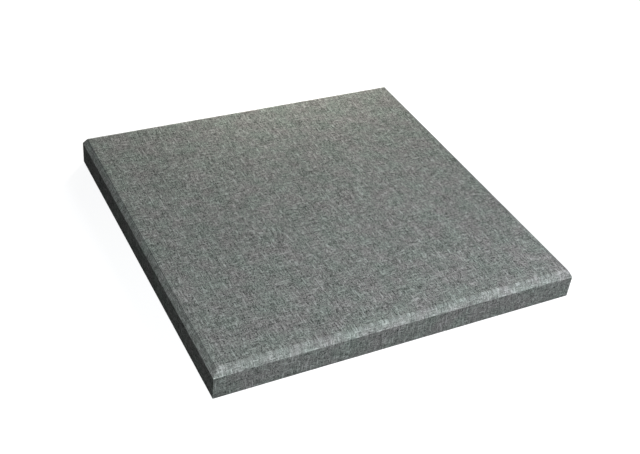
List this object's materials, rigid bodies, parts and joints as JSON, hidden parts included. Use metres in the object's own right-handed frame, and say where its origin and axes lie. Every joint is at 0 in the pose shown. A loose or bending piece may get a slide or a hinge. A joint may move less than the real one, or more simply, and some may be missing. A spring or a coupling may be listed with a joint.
{
  "type": "acoustic panel",
  "caption": "Square cloth-wrapped sound-absorbing wall panel with bevelled front edges, a timber frame round a mineral wool slab, and keyhole hangers.",
  "frame": {"origin": "middle of the back, on the plane that the panel lies on", "axes": "+Z out of the front face, +Y towards the edge that is uppermost on a wall, +X to the right as seen from the front"},
  "size_m": [0.61, 0.61, 0.0508],
  "materials": {
    "melange_cloth": "grey melange linen-look woven polyester with slubs",
    "glass_tissue": "thin off-white glass tissue",
    "mineral_wool": "dense yellow-green mineral wool",
    "black_nonwoven": "black spunbonded non-woven",
    "pine": "planed pine",
    "beech": "planed beech",
    "zinc_plate": "bright zinc-plated pressed steel",
    "zinc_screw": "zinc-plated steel screw",
    "galvanised_wire": "galvanised steel wire"
  },
  "bodies": {
    "root": {"fabric_cover": "melange_cloth", "front_tissue": "glass_tissue", "mineral_wool_core": "mineral_wool", "back_cover": "black_nonwoven", "frame_rail_bottom": "pine", "frame_rail_right": "pine", "frame_rail_top": "pine", "frame_rail_left": "pine", "corner_key_bottom_right": "beech", "corner_key_right_top": "beech", "corner_key_top_left": "beech", "corner_key_left_bottom": "beech", "hanger_plate_left": "zinc_plate", "hanger_plate_right": "zinc_plate", "hanger_screw_left_lower": "zinc_screw", "hanger_screw_left_upper": "zinc_screw", "hanger_screw_right_lower": "zinc_screw", "hanger_screw_right_upper": "zinc_screw", "staple_bottom_1": "galvanised_wire", "staple_bottom_2": "galvanised_wire", "staple_bottom_3": "galvanised_wire", "staple_bottom_4": "galvanised_wire", "staple_bottom_5": "galvanised_wire", "staple_bottom_6": "galvanised_wire", "staple_bottom_7": "galvanised_wire", "staple_bottom_8": "galvanised_wire", "staple_right_1": "galvanised_wire", "staple_right_2": "galvanised_wire", "staple_right_3": "galvanised_wire", "staple_right_4": "galvanised_wire", "staple_right_5": "galvanised_wire", "staple_right_6": "galvanised_wire", "staple_right_7": "galvanised_wire", "staple_right_8": "galvanised_wire", "staple_top_1": "galvanised_wire", "staple_top_2": "galvanised_wire", "staple_top_3": "galvanised_wire", "staple_top_4": "galvanised_wire", "staple_top_5": "galvanised_wire", "staple_top_6": "galvanised_wire", "staple_top_7": "galvanised_wire", "staple_top_8": "galvanised_wire", "staple_left_1": "galvanised_wire", "staple_left_2": "galvanised_wire", "staple_left_3": "galvanised_wire", "staple_left_4": "galvanised_wire", "staple_left_5": "galvanised_wire", "staple_left_6": "galvanised_wire", "staple_left_7": "galvanised_wire", "staple_left_8": "galvanised_wire"}
  },
  "joints": []
}
